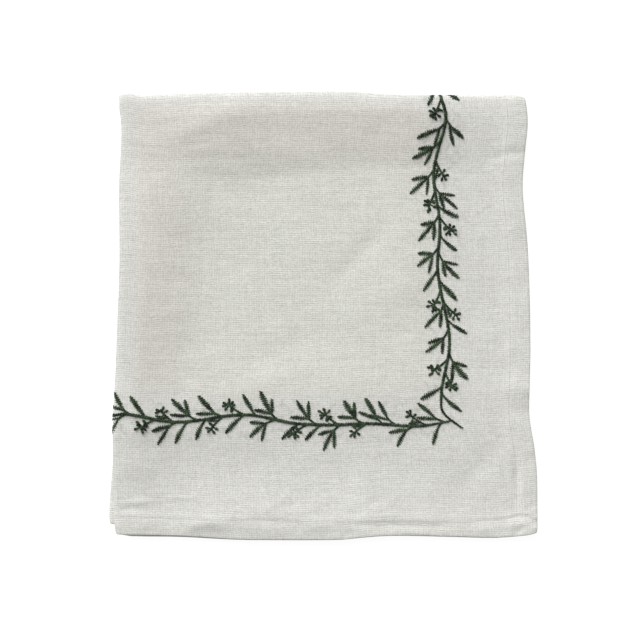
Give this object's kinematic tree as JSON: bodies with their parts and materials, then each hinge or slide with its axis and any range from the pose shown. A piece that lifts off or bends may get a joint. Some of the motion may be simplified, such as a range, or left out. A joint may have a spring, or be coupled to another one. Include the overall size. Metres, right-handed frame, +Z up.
{
  "type": "linen napkin",
  "caption": "Hemmed linen table napkin folded into quarters and lying flat, with an embroidered border of leaves and berries.",
  "frame": {"origin": "middle of the folded napkin's footprint, on the surface that it lies on", "axes": "+Z up out of the surface; +Y towards the crease that all the layers share; +X towards the hemmed side edge"},
  "size_m": [0.2316, 0.2424, 0.0071],
  "materials": {
    "linen": "washed plain-weave linen, matt",
    "embroidery_thread": "stranded cotton in satin stitch, soft sheen"
  },
  "bodies": {
    "root": {"napkin": "linen"}
  },
  "joints": []
}
